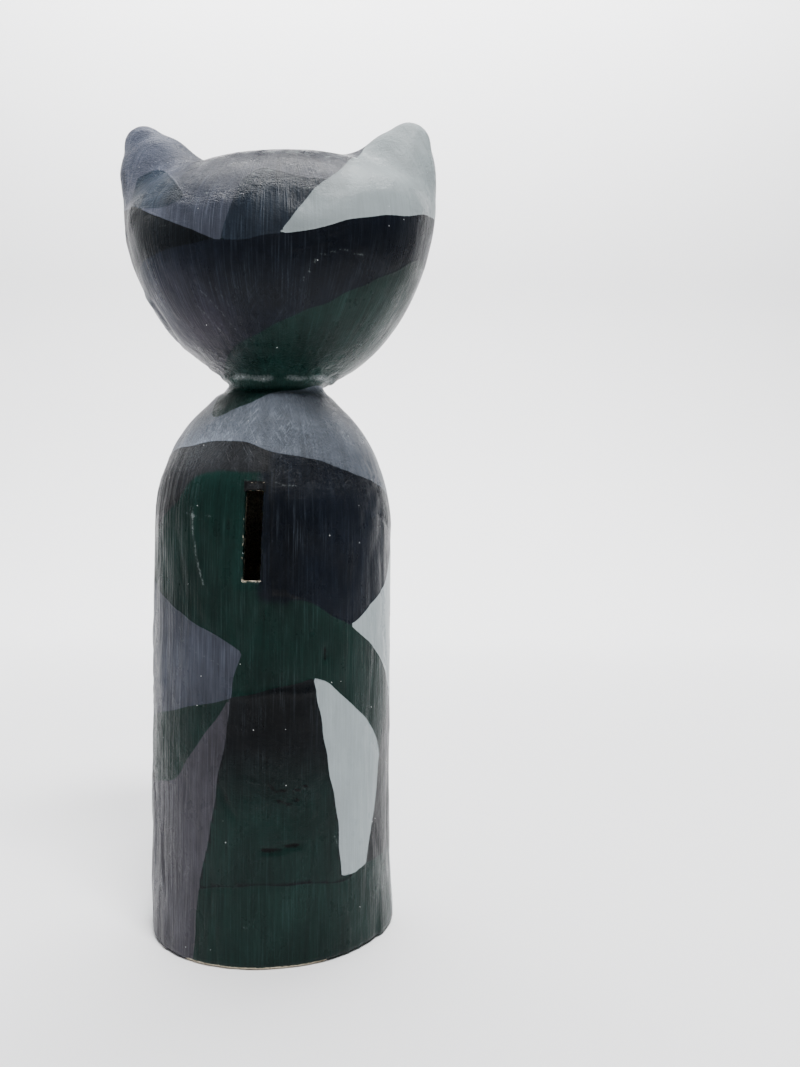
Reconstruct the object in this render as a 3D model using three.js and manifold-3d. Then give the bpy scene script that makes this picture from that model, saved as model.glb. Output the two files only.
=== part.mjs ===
// A papier-mache cat: a hollow money box with a coin slot in its back.
// Millimetres, +Z up, face towards -Y and slot towards +Y, standing on z = 0 under the middle of its outline.
// It is one closed paper shell: body, neck and head share one cavity, which only the slot opens.

import * as THREE from 'three';
import { mergeVertices } from 'three/addons/utils/BufferGeometryUtils.js';
import Module from 'manifold-3d';

const wasm = await Module();
wasm.setup();

// The whole
const wallThickness = 4;
const floorThickness = 5;

// Body, shoulder and neck, round about an axis that stands a little to the side of the head's middle
const bodyAxisX = 0.8;
const bodyRadius = 45.3;
const baseEdgeRadius = 1.6;
const pasteFilletRadius = 2; // inside, where wall and floor meet
const shoulderStartZ = 152;
const shoulderRise = 56;
const neckRadius = 19;
const neckZ = 207;
const neckTopZ = 222; // the neck runs on up into the head

// Head: a bowl that leans a little to one side, closed by a low dome
const headLean = 0.018; // sideways per unit of height above the neck
const bowl = { centre: [-0.9, 0, 274.7], radii: [58.8, 54.5, 69.5], radiusAbove: 200 };
const dome = { centre: [-4.9, 0, 234.8], radii: [84.6, 52, 110], radiusAbove: 61.1 };
const domeBlend = 9;

// Ears: flattened cones, bent once so that their outer sides stand upright. Each row is x, z and radius,
// from root to tip, and by hand the two came out a little different.
const leftEar = [[35.2, 266.6, 18.9], [46.8, 289.5, 15.1], [52.6, 300.5, 7.9]];
const rightEar = [[-33.2, 270, 21.4], [-46.6, 292, 14.8], [-50.9, 302, 8.5]];
const earDepthRatio = 0.62;
const earBendBlend = 2;
const earBlend = 12;

// Each ear is slightly hollow in front
const earHollow = { middle: [43.5, -18, 290], radii: [9.5, 9, 17], radiusAbove: 15 };
const earHollowBlend = 5;

// Coin slot, leaning a little, with a shallow step in the paper above it
const slotWidth = 6.2;
const slotBottomZ = 133;
const slotTopZ = 164;
const slotCentreX = bodyAxisX + 1.1;
const slotLean = 0.029; // radians
const slotStepHeight = 2.7;
const slotStepDepth = 1.2;

// How finely the round forms are divided
const bodySegments = 48;
const headSegments = 52;
const headRings = 34;
const cavitySegments = 32;
const cavityRings = 16;
const shoulderSteps = 9;
const meridianCrowding = 0.5; // how much closer the head's meridians stand at the ears, as a share
const edgeSteps = 2;

// Where the head's rays start, how near and far they are searched, and how often each search is halved
const headCore = new THREE.Vector3(-1, 0, 255);
const raySearch = [8, 100];
const raySearchHalvings = 24;

// Signed distance, near enough, from an ellipsoid whose upper half has its own height
function ellipsoidDistance(point, { centre, radii, radiusAbove }) {
  const offset = [point.x - centre[0], point.y - centre[1], point.z - centre[2]];
  const sizes = [radii[0], radii[1], offset[2] > 0 ? radiusAbove : radii[2]];
  const scaled = Math.hypot(...offset.map((value, axis) => value / sizes[axis]));
  const slope = Math.hypot(...offset.map((value, axis) => value / sizes[axis] ** 2));
  return slope > 0 ? scaled * (scaled - 1) / slope : -Math.min(...sizes);
}

// The lower of two distances, rounded where they are alike
function blendJoin(first, second, reach) {
  const near = Math.max(reach - Math.abs(first - second), 0) / reach;
  return Math.min(first, second) - near * near * reach / 4;
}

// The higher of two distances, rounded in the same way
function blendCut(first, second, reach) {
  return -blendJoin(-first, -second, reach);
}

// Signed distance from a round cone between two stations of an ear
function coneDistance(point, [lowX, lowZ, lowRadius], [highX, highZ, highRadius]) {
  const low = new THREE.Vector3(lowX, 0, lowZ);
  const along = new THREE.Vector3(highX - lowX, 0, highZ - lowZ);
  const share = THREE.MathUtils.clamp(point.clone().sub(low).dot(along) / along.lengthSq(), 0, 1);
  const radius = THREE.MathUtils.lerp(lowRadius, highRadius, share);
  return point.distanceTo(low.addScaledVector(along, share)) - radius;
}

// Signed distance from an ear with its shallow hollow
function earDistance(point, [root, bend, tip]) {
  const widened = new THREE.Vector3(point.x, point.y / earDepthRatio, point.z);
  const cones = blendJoin(coneDistance(widened, root, bend), coneDistance(widened, bend, tip), earBendBlend);
  const [x, y, z] = earHollow.middle;
  const hollow = ellipsoidDistance(point, { ...earHollow, centre: [x * Math.sign(tip[0]), y, z] });
  return blendCut(cones, -hollow, earHollowBlend);
}

// Signed distance from the head's skin: below zero inside
function headDistance(point) {
  const upright = point.clone();
  upright.x += headLean * (point.z - neckZ) - bodyAxisX;
  const core = blendCut(ellipsoidDistance(upright, bowl), ellipsoidDistance(point, dome), domeBlend);
  const withLeftEar = blendJoin(core, earDistance(point, leftEar), earBlend);
  return blendJoin(withLeftEar, earDistance(point, rightEar), earBlend);
}

// The point on a ray from the head's core where the skin, less an inset, is crossed
function pointOnRay(direction, inset) {
  let [near, far] = raySearch;
  const point = new THREE.Vector3();
  for (let step = 0; step < raySearchHalvings; step += 1) {
    const middle = (near + far) / 2;
    point.copy(headCore).addScaledVector(direction, middle);
    if (headDistance(point) + inset < 0) near = middle;
    else far = middle;
  }
  return point;
}

// One meridian of the head from pole to pole, as evenly spaced points
function headMeridian(angle, rings, inset) {
  const fineSteps = rings * 6;
  const fine = [];
  const lengths = [0];
  for (let step = 0; step <= fineSteps; step += 1) {
    const polar = Math.PI * step / fineSteps;
    const direction = new THREE.Vector3(
      Math.sin(polar) * Math.cos(angle),
      Math.sin(polar) * Math.sin(angle),
      Math.cos(polar),
    );
    fine.push(pointOnRay(direction, inset));
    if (step > 0) lengths.push(lengths[step - 1] + fine[step].distanceTo(fine[step - 1]));
  }
  const points = [];
  let upper = 1;
  for (let ring = 0; ring <= rings; ring += 1) {
    const wanted = lengths[fineSteps] * ring / rings;
    while (upper < fineSteps && lengths[upper] < wanted) upper += 1;
    const share = (wanted - lengths[upper - 1]) / (lengths[upper] - lengths[upper - 1]);
    points.push(fine[upper - 1].clone().lerp(fine[upper], THREE.MathUtils.clamp(share, 0, 1)));
  }
  return points;
}

// The head's skin, or the cavity inside it: a sphere whose rings are moved onto the meridians
function headGeometry(segments, rings, inset) {
  const geometry = new THREE.SphereGeometry(1, segments, rings);
  const position = geometry.attributes.position;
  for (let segment = 0; segment <= segments; segment += 1) {
    const turn = 2 * Math.PI * (segment % segments) / segments;
    const meridian = headMeridian(turn - meridianCrowding * Math.sin(2 * turn) / 2, rings, inset);
    meridian.forEach((point, ring) => {
      const onAxis = ring === 0 || ring === rings;
      const index = ring * (segments + 1) + segment;
      position.setXYZ(index, onAxis ? headCore.x : point.x, onAxis ? headCore.y : point.y, point.z);
    });
  }
  return geometry;
}

// The profile of body and neck, on the skin or set in from it for the cavity, from the floor up to a flat top
function bodyProfile({ inset, floorZ, edgeRadius }) {
  const side = bodyRadius - inset;
  const neck = neckRadius - inset;
  const rise = shoulderRise - inset;
  const points = [new THREE.Vector2(0, floorZ)];
  for (let step = 0; step <= edgeSteps; step += 1) {
    const turn = Math.PI / 2 * step / edgeSteps;
    const out = side + edgeRadius * (Math.sin(turn) - 1);
    points.push(new THREE.Vector2(out, floorZ + edgeRadius * (1 - Math.cos(turn))));
  }
  const neckTurn = Math.acos(neck / side);
  for (let step = 0; step <= shoulderSteps; step += 1) {
    const turn = neckTurn * step / shoulderSteps;
    points.push(new THREE.Vector2(side * Math.cos(turn), shoulderStartZ + rise * Math.sin(turn)));
  }
  points.push(new THREE.Vector2(neck, neckTopZ), new THREE.Vector2(0, neckTopZ));
  return points;
}

function bodyGeometry(segments, form) {
  return new THREE.LatheGeometry(bodyProfile(form), segments)
    .rotateX(Math.PI / 2)
    .translate(bodyAxisX, 0, 0);
}

// A box that runs from inside the cavity out past the skin, turned to the slot's lean
function slotGeometry(lowZ, highZ, innerY) {
  const depth = bodyRadius + wallThickness - innerY;
  const middleZ = (slotBottomZ + slotTopZ) / 2;
  return new THREE.BoxGeometry(slotWidth, depth, highZ - lowZ)
    .translate(0, innerY + depth / 2, (lowZ + highZ) / 2 - middleZ)
    .rotateY(-slotLean)
    .translate(slotCentreX, 0, middleZ);
}

// A closed geometry as a solid that can be joined and cut
function solidFrom(geometry) {
  const bare = new THREE.BufferGeometry();
  bare.setAttribute('position', geometry.attributes.position);
  bare.setIndex(geometry.index);
  const merged = mergeVertices(bare, 1e-4);
  const triangles = [];
  for (let i = 0; i < merged.index.count; i += 3) {
    const [a, b, c] = [0, 1, 2].map((corner) => merged.index.getX(i + corner));
    if (a !== b && b !== c && c !== a) triangles.push(a, b, c);
  }
  return new wasm.Manifold(new wasm.Mesh({
    numProp: 3,
    vertProperties: new Float32Array(merged.attributes.position.array),
    triVerts: new Uint32Array(triangles),
  }));
}

function geometryFrom(solid) {
  const mesh = solid.getMesh();
  const geometry = new THREE.BufferGeometry();
  geometry.setAttribute('position', new THREE.BufferAttribute(mesh.vertProperties, 3));
  geometry.setIndex(new THREE.BufferAttribute(mesh.triVerts, 1));
  geometry.computeVertexNormals();
  return geometry;
}

function catShell() {
  const outside = { inset: 0, floorZ: 0, edgeRadius: baseEdgeRadius };
  const inside = { inset: wallThickness, floorZ: floorThickness, edgeRadius: pasteFilletRadius };
  const skin = solidFrom(bodyGeometry(bodySegments, outside))
    .add(solidFrom(headGeometry(headSegments, headRings, 0)));
  const cavity = solidFrom(bodyGeometry(cavitySegments, inside))
    .add(solidFrom(headGeometry(cavitySegments, cavityRings, wallThickness)));
  const slot = solidFrom(slotGeometry(slotBottomZ, slotTopZ, bodyRadius - 3 * wallThickness));
  const step = solidFrom(slotGeometry(slotTopZ, slotTopZ + slotStepHeight, bodyRadius - slotStepDepth));
  return geometryFrom(skin.subtract(cavity).subtract(slot).subtract(step));
}

const paintedPaper = new THREE.MeshStandardMaterial({ color: 0x23292d, roughness: 0.35, metalness: 0 });
const shell = new THREE.Mesh(catShell(), paintedPaper);
shell.name = 'cat_shell';

const cat = new THREE.Group();
cat.add(shell);

export default cat;
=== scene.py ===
import math

import bpy
import numpy as np
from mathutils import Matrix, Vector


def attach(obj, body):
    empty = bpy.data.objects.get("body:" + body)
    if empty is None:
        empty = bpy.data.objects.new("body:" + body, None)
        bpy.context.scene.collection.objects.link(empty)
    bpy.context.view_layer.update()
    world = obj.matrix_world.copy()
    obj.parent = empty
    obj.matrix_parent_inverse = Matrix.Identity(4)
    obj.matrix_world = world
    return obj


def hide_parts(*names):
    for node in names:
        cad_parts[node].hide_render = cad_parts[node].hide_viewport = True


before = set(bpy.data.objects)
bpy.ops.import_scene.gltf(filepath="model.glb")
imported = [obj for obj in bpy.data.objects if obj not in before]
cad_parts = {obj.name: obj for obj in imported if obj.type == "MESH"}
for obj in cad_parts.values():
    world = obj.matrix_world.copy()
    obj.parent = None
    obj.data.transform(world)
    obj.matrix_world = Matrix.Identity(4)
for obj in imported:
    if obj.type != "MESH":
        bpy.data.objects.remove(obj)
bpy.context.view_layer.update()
mm = 0.001
rng = np.random.default_rng(31)


# Short names for building node trees
def put(tree, kind, settings=None, inputs=None):
    made = tree.nodes.new(kind)
    for key, value in (settings or {}).items():
        setattr(made, key, value)
    for key, value in (inputs or {}).items():
        if isinstance(value, bpy.types.NodeSocket):
            tree.links.new(value, made.inputs[key])
        else:
            made.inputs[key].default_value = value
    return made


def calc(tree, operation, *values, clamp=False):
    settings = {"operation": operation, "use_clamp": clamp}
    return put(tree, "ShaderNodeMath", settings, dict(enumerate(values))).outputs[0]


def times(tree, first, second):
    return calc(tree, "MULTIPLY", first, second)


def plus(tree, first, second):
    return calc(tree, "ADD", first, second)


def minus(tree, first, second):
    return calc(tree, "SUBTRACT", first, second)


def vec(tree, operation, *values):
    inputs = dict(enumerate(values))
    return put(tree, "ShaderNodeVectorMath", {"operation": operation}, inputs).outputs[0]


def scaled(tree, vector, by):
    inputs = {0: vector, "Scale": by}
    return put(tree, "ShaderNodeVectorMath", {"operation": "SCALE"}, inputs).outputs[0]


def noise(tree, vector, detail=2.0, roughness=0.5, distortion=0.0, seed=0.0):
    inputs = {"Vector": vector, "W": seed, "Scale": 1.0, "Detail": detail,
              "Roughness": roughness, "Distortion": distortion}
    return put(tree, "ShaderNodeTexNoise", {"noise_dimensions": "4D"}, inputs).outputs[0]


def smooth(tree, value, low, high, toLow=0.0, toHigh=1.0):
    inputs = {"Value": value, "From Min": low, "From Max": high, "To Min": toLow, "To Max": toHigh}
    return put(tree, "ShaderNodeMapRange", {"interpolation_type": "SMOOTHSTEP"}, inputs).outputs[0]


def mixColour(tree, share, first, second):
    made = put(tree, "ShaderNodeMix", {"data_type": "RGBA"})
    for index, value in ((0, share), (6, first), (7, second)):
        if isinstance(value, bpy.types.NodeSocket):
            tree.links.new(value, made.inputs[index])
        else:
            made.inputs[index].default_value = value
    return made.outputs[2]


def numbers(values):
    return [(name, "NodeSocketFloat", value) for name, value in values.items()]


def groupTree(name, kind, inputs, outputs):
    tree = bpy.data.node_groups.new(name, kind)
    for socketName, socketType, value in inputs:
        socket = tree.interface.new_socket(socketName, in_out="INPUT", socket_type=socketType)
        if value is not None:
            socket.default_value = value
    for socketName, socketType in outputs:
        tree.interface.new_socket(socketName, in_out="OUTPUT", socket_type=socketType)
    return tree, put(tree, "NodeGroupInput").outputs, put(tree, "NodeGroupOutput").inputs


def useGroup(tree, group, inputs):
    return put(tree, "ShaderNodeGroup", {"node_tree": group}, inputs).outputs


def srgb(red, green, blue):
    def line(v):
        v = v / 255
        return v / 12.92 if v <= 0.04045 else ((v + 0.055) / 1.055) ** 2.4
    return (line(red), line(green), line(blue), 1.0)


# The form, in millimetres: one tube for body and neck, and a bowl with two ears on top
body = {"axisX": 0.8, "radius": 45.3, "shoulderStart": 152, "shoulderRise": 56,
        "neckRadius": 19, "neckZ": 207, "neckTop": 222, "baseEdge": 1.6}
head = {"lean": 0.018, "bowl": ((-0.9, 0, 274.7), (58.8, 54.5, 69.5), 200),
        "dome": ((-4.9, 0, 234.8), (84.6, 52, 110), 61.1), "domeBlend": 9,
        "core": (-1, 0, 255), "search": (8.0, 100.0), "halvings": 20}
ears = {"left": ((35.2, 266.6, 18.9), (46.8, 289.5, 15.1), (52.6, 300.5, 7.9)),
        "right": ((-33.2, 270, 21.4), (-46.6, 292, 14.8), (-50.9, 302, 8.5)),
        "depthRatio": 0.62, "bendBlend": 2, "blend": 12,
        "hollow": ((43.5, -18, 290), (9.5, 9, 17), 15), "hollowBlend": 5}
slot = {"width": 6.2, "bottom": 133, "top": 164, "x": 1.9, "lean": 0.029,
        "stepHeight": 2.7, "stepDepth": 1.2, "columns": 6}
wall = 4
floorThick = 5
quarter = math.pi / 2
fullTurn = 2 * math.pi
smoothing = {"perMm": 4, "margin": 6, "reach": 4}  # how finely and how far each profile is smoothed
crisp = {"from": 7, "over": 5}  # near the base the profile stays as it was cut


def ellipsoid(p, centre, radii, above):
    o = p - np.array(centre, float)
    high = np.where(o[..., 2] > 0, above, radii[2])
    sizes = np.stack([np.full_like(high, radii[0]), np.full_like(high, radii[1]), high], -1)
    ratio = np.linalg.norm(o / sizes, axis=-1)
    slope = np.linalg.norm(o / sizes ** 2, axis=-1)
    return ratio * (ratio - 1) / np.maximum(slope, 1e-9)


def blendJoin(first, second, reach):
    near = np.maximum(reach - np.abs(first - second), 0) / reach
    return np.minimum(first, second) - near ** 2 * reach / 4


def blendCut(first, second, reach):
    return -blendJoin(-first, -second, reach)


def cone(p, low, high):
    start = np.array([low[0], 0, low[1]], float)
    along = np.array([high[0] - low[0], 0, high[1] - low[1]], float)
    share = np.clip((p - start) @ along / (along @ along), 0, 1)
    gap = np.linalg.norm(p - start - share[..., None] * along, axis=-1)
    return gap - (low[2] + (high[2] - low[2]) * share)


def ear(p, side):
    root, bend, tip = ears[side]
    wide = p.copy()
    wide[..., 1] /= ears["depthRatio"]
    cones = blendJoin(cone(wide, root, bend), cone(wide, bend, tip), ears["bendBlend"])
    (x, y, z), radii, above = ears["hollow"]
    hollow = ellipsoid(p, (math.copysign(x, tip[0]), y, z), radii, above)
    return blendCut(cones, -hollow, ears["hollowBlend"])


def headDistance(p):
    upright = p.copy()
    upright[..., 0] += head["lean"] * (p[..., 2] - body["neckZ"]) - body["axisX"]
    core = blendCut(ellipsoid(upright, *head["bowl"]), ellipsoid(p, *head["dome"]), head["domeBlend"])
    return blendJoin(blendJoin(core, ear(p, "left"), ears["blend"]), ear(p, "right"), ears["blend"])


def headMeridians(angles, steps, inset):
    # how far out and how high the head's skin lies, for each angle and each tilt from the top down
    turn, tilt = np.meshgrid(angles, np.linspace(0, math.pi, steps), indexing="ij")
    ray = np.stack([np.sin(tilt) * np.cos(turn), np.sin(tilt) * np.sin(turn), np.cos(tilt)], -1)
    near, far = (np.full(turn.shape, limit) for limit in head["search"])
    for _ in range(head["halvings"]):
        middle = (near + far) / 2
        inside = headDistance(np.array(head["core"], float) + ray * middle[..., None]) + inset < 0
        near, far = np.where(inside, middle, near), np.where(inside, far, middle)
    return near * np.sin(tilt), head["core"][2] + near * np.cos(tilt)


def bodyOutline(inset, floorZ, edge):
    # radius and height from inside the head down to the floor's edge
    side, neck = body["radius"] - inset, body["neckRadius"] - inset
    rise = body["shoulderRise"] - inset
    shoulderSteps, cornerSteps = 90, 8
    turns = np.linspace(math.acos(neck / side), 0, shoulderSteps)
    corner = np.linspace(quarter, 0, cornerSteps)
    radius = [[neck], side * np.cos(turns), side + edge * (np.sin(corner) - 1)]
    height = [[body["neckTop"]], body["shoulderStart"] + rise * np.sin(turns),
              floorZ + edge * (1 - np.cos(corner))]
    return np.concatenate(radius), np.concatenate(height)


def columnProfiles(angles, inset, floorZ, edge, knots, rowCounts, softness):
    # one profile per angle, from the crown down to the middle of the floor, with rows at the same stations
    meridianSteps = 340
    outs, ups = headMeridians(angles, meridianSteps, inset)
    radius, height = bodyOutline(inset, floorZ, edge)
    shift = body["axisX"] - head["core"][0]
    perMm, margin, reach = smoothing["perMm"], smoothing["margin"] * smoothing["perMm"], smoothing["reach"]
    kernel = np.exp(-(np.arange(-reach * perMm, reach * perMm + 1) / perMm / softness) ** 2 / 2)
    kernel /= kernel.sum()
    profiles = []
    for angle, out, up in zip(angles, outs, ups):
        bodyOut = shift * math.cos(angle) + np.sqrt(radius ** 2 - (shift * math.sin(angle)) ** 2)
        inNeck = np.interp(up, height[::-1], bodyOut[::-1])
        met = np.argmax((out < inNeck) & (up < body["neckTop"]))
        gapBefore, gapAfter = out[met - 1] - inNeck[met - 1], out[met] - inNeck[met]
        share = gapBefore / (gapBefore - gapAfter)
        crease = [part[met - 1] + share * (part[met] - part[met - 1]) for part in (out, up)]
        below = height < crease[1]
        line = np.vstack([np.c_[out[:met], up[:met]], crease,
                          np.c_[bodyOut[below], height[below]], (0, floorZ)])
        run = np.r_[0, np.cumsum(np.hypot(*np.diff(line, axis=0).T))]
        heights = [line[met + 1:-1, 1][::-1], run[met + 1:-1][::-1]]
        stations = [0, run[met], *(np.interp(z, *heights) for z in knots), run[-2], run[-1]]
        rows = np.concatenate([np.linspace(a, b, n, endpoint=False) for a, b, n in
                               zip(stations, stations[1:], rowCounts)] + [[run[-1]]])
        fine = np.arange(-margin, int(run[-1] * perMm) + margin) / perMm
        reflected = np.abs(fine)
        reflected = np.where(reflected > run[-1], 2 * run[-1] - reflected, reflected)
        sign = np.where((fine < 0) | (fine > run[-1]), -1, 1)
        smoothOut = np.convolve(np.interp(reflected, run, line[:, 0]) * sign, kernel, "same")
        smoothUp = np.convolve(np.interp(reflected, run, line[:, 1]), kernel, "same")
        # the neck and head are worn round, the edge of the base is not
        kept = np.clip((rows - run[-2] + crisp["from"]) / crisp["over"], 0, 1)[:, None]
        worn = np.c_[np.interp(rows, fine, smoothOut), np.interp(rows, fine, smoothUp)]
        cut = np.c_[np.interp(rows, run, line[:, 0]), np.interp(rows, run, line[:, 1])]
        profiles.append(worn + kept * (cut - worn))
    return np.array(profiles)


def skinGrid(columns, inset, floorZ, edge, rowCounts, slotColumns, softness, crowding):
    # rows x columns of points, with two column lines and three rows led along the slot's edges
    angleCount, slotFade = 480, 14
    angles = np.arange(angleCount) * fullTurn / angleCount
    knots = [slot["top"] + slot["stepHeight"], slot["top"], slot["bottom"]]
    profiles = columnProfiles(angles, inset, floorZ, edge, knots, rowCounts, softness)
    rowTotal = profiles.shape[1]
    headRows = rowCounts[0]
    slotTopRow = sum(rowCounts[:3])
    slotBottomRow = sum(rowCounts[:4])
    turn = fullTurn * np.arange(columns) / columns
    middleColumn = round((quarter - math.atan2(slot["x"] - head["core"][0], body["radius"])) / turn[1])
    leftColumn = middleColumn - slotColumns // 2
    rightColumn = leftColumn + slotColumns
    spread = max(4, columns // 20)
    grid = np.zeros((rowTotal, columns, 3))
    for row in range(rowTotal):
        fade = np.clip(2.2 - 2.2 * row / headRows, 0, 1) * np.clip(row / 6, 0, 1)
        angle = turn - crowding * fade * np.sin(2 * turn) / 2
        up = np.interp(quarter, angles, profiles[:, row, 1])
        away = max(slot["bottom"] - up, up - slot["top"] - slot["stepHeight"], 0)
        hold = 1 - np.clip(away / slotFade, 0, 1) if row > headRows else 0
        if hold > 0:
            radius = np.interp(quarter, angles, profiles[:, row, 0])
            middleX = slot["x"] - slot["lean"] * (up - (slot["top"] + slot["bottom"]) / 2) - head["core"][0]
            edges = [quarter - math.asin((middleX + half) / radius)
                     for half in (slot["width"] / 2, -slot["width"] / 2)]
            at = [leftColumn - spread, leftColumn, rightColumn, rightColumn + spread]
            to = [angle[at[0]], *edges, angle[at[3]]]
            led = np.interp(np.arange(columns), at, to)
            inReach = (np.arange(columns) > at[0]) & (np.arange(columns) < at[3])
            angle = np.where(inReach, angle + hold ** 0.5 * (led - angle), angle)
        ring = [np.interp(angle, angles, profiles[:, row, axis], period=fullTurn) for axis in (0, 1)]
        grid[row] = np.c_[head["core"][0] + ring[0] * np.cos(angle), ring[0] * np.sin(angle), ring[1]]
    return grid, headRows, (slotTopRow, slotBottomRow, leftColumn, rightColumn)


# rows from crown to neck, to the step, to the slot, down the slot, to the base and across the underside
skinRows = (128, 50, 3, 28, 112, 6)
cavityRows = (26, 12, 1, 7, 18, 4)
skin, headRows, hole = skinGrid(columns=272, inset=0, floorZ=0, edge=body["baseEdge"], rowCounts=skinRows,
                                slotColumns=slot["columns"], softness=1.7, crowding=0.5)
cavity, _, cavityHole = skinGrid(columns=64, inset=wall, floorZ=floorThick, edge=2, rowCounts=cavityRows,
                                 slotColumns=2, softness=1.0, crowding=0.3)
print("skin", skin.shape, "cavity", cavity.shape)

# The painted panels, front and back. Each border is drawn once, as across and up in millimetres.
# Across is to the right of whoever looks at that side: straight on the head, round the tube on the body.


def curve(points, steps=6):
    line = np.array(points, float)
    ends = np.vstack([2 * line[0] - line[1], line, 2 * line[-1] - line[-2]])
    t = np.linspace(0, 1, steps, endpoint=False)[:, None]
    parts = []
    for a, b, c, d in zip(ends, ends[1:], ends[2:], ends[3:]):
        parts.append(0.5 * (2 * b + (c - a) * t + (2 * a - 5 * b + 4 * c - d) * t ** 2
                            + (3 * b - a - 3 * c + d) * t ** 3))
    return [tuple(p) for p in np.vstack(parts + [line[-1:]])]


def mirrored(points):
    return [(-x, z) for x, z in points]


crownLow = curve([(-66, 276), (-56, 272), (-39, 261), (-29, 256), (-15, 249)])
earDiagonal = [(7, 251), (11, 256), (17, 265), (23, 273), (28, 281), (31, 289), (36, 306)]
earLow = curve([(7, 251), (16, 252), (24, 255), (35, 259), (49, 264), (60, 271), (70, 279)])
bandTop = curve([(-70, 243), (-58, 245), (-45, 247), (-25, 248.5), (-15, 249)])
bandLow = curve([(66, 261), (55, 253), (46, 245), (35, 238), (23, 231), (11, 226), (2, 222), (-7, 219),
                 (-16, 214), (-22, 206)])
crownDip = curve([(-7, 272), (-1, 277), (7, 275), (16, 272), (24, 272)]) + [(30, 262), (8, 248)]
earPatch = curve([(-52, 284), (-43, 286), (-34, 276), (-28, 265), (-41, 264), (-54, 270), (-52, 284)])

headBack = [
    ("slate", [(-90, 240), (90, 240), (90, 340), (-90, 340)]),
    ("dusk", crownDip + [(-3, 246), (-14, 246), (-9, 262)]),
    ("dusk", earPatch),
    ("mist", [(7, 240), (90, 240), (90, 340), (36, 340)] + earDiagonal[::-1]),
    ("ink", crownLow + [(-15, 240), (-90, 240)]),
    ("pine", [(-90, 200), (-90, 244)] + bandTop + [(-4, 249), (7, 251)] + earLow + [(90, 270), (90, 200)]),
    ("night", bandTop + [(-4, 249), (7, 251)] + earLow + bandLow + [(-80, 200)]),
]

leftEye = curve([(-44, 275), (-34, 275.2), (-24, 273), (-17, 269), (-14, 263)])
leftEyeLow = curve([(-14, 263), (-15, 258), (-22, 260), (-30, 260.6), (-38, 266), (-44, 275)])
muzzleLeft = curve([(-14, 267), (-14, 258), (-21, 250), (-27, 240), (-25, 230), (-17, 222), (-8, 217),
                    (0, 215.5)])
cheekLeft = curve([(-70, 247), (-58, 244.5), (-44, 241), (-26, 236.5)])
browLeft = curve([(-25, 273), (-34, 280), (-44, 291), (-51, 288)])
pupil = curve([(-28.5, 274), (-26.8, 269), (-28, 264), (-30.2, 268), (-28.5, 274)])
nose = [(-4, 238), (4, 238), (0, 232.5)]

headFront = [
    ("pine", [(-90, 200), (-90, 340), (90, 340), (90, 200)]),
    ("slate", [(0, 268), (-8, 277), (-16, 285), (-24, 291), (-30, 340), (-90, 340), (-90, 262), (-14, 262)]),
    ("ink", [(0, 268), (-8, 277), (-16, 285), (-24, 291), (-28, 340), (0, 340)]),
    ("steel", [(0, 268), (0, 340), (90, 340), (90, 262), (14, 262)]),
    ("steel", cheekLeft + [(-14, 262), (-44, 275), (-50, 288), (-90, 300)]),
    ("slate", mirrored(cheekLeft) + [(14, 262), (44, 275), (50, 288), (90, 300)]),
    ("mist", browLeft + [(-45, 275)]),
    ("mist", mirrored(browLeft) + [(45, 275)]),
    ("ink", [(-90, 200)] + cheekLeft + [(-2, 236), (-2, 200)]),
    ("mist", muzzleLeft + mirrored(muzzleLeft)[::-1]),
    ("iris", leftEye + leftEyeLow[1:]),
    ("iris", mirrored(leftEye + leftEyeLow[1:])),
    ("ink", pupil),
    ("ink", mirrored(pupil)),
    ("dusk", nose),
]

shoulderLow = curve([(-80, 172), (-60, 177), (-46, 180), (-33, 181), (-20, 182), (-7, 181), (4, 178),
                     (14, 177), (24, 175), (37, 172), (53, 168), (66, 164), (84, 158)])
neckGreenLow = curve([(-90, 207), (-62, 206), (-46, 203), (-37, 197), (-30, 192.5), (-24, 191.5),
                      (-10, 195.5), (5, 200), (16, 202.5), (34, 204), (56, 206), (90, 207)])
lobeLow = curve([(5, 128), (15, 127), (22, 124), (28, 120), (35, 117)])
lobeRight = curve([(35, 117), (41, 120), (52, 127), (60, 133), (67, 142), (71, 152), (72, 166)])
cuspRight = curve([(35, 117), (41, 113), (47, 109), (52, 105), (58, 99), (62, 95), (68, 86), (78, 76)])
paleTop = curve([(20, 99), (26, 97), (32, 92), (41, 84), (46, 79), (50, 74), (53, 67)])
paleRight = curve([(53, 67), (52, 60), (49, 47), (46, 38), (44, 30)])
paleLeft = [(32, 29), (30, 50), (26, 69), (23, 87), (20, 99)]
slateTop = curve([(-80, 152), (-66, 140), (-50, 130), (-38, 125), (-25, 119), (-16, 115), (-9, 111),
                  (-5, 108)])
slateLow = curve([(-8, 93), (-16, 91), (-23, 89), (-32, 87), (-48, 83), (-76, 76)])
wedgeLow = curve([(-76, 56), (-50, 58), (-34, 62), (-26, 70), (-16, 83), (-8.6, 93)])
plumRight = [(-8.6, 93), (-12, 69), (-17, 42), (-21, 23), (-23, -4)]
bottomTop = curve([(-21, 26), (-5, 29), (16, 28.4), (32, 27), (38, 28.5), (46, 30.5), (60, 30), (90, 26)])
greenTop = curve([(-60, 140), (-46, 152), (-34, 160), (-28, 167), (-21, 171), (-6, 171), (5, 171)])
slotGreen = greenTop + lobeLow + cuspRight + [(90, 40), (-60, 60)]
slotNight = [(3, 184), (3, 128)] + lobeLow + lobeRight + [(60, 184)]

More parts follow.
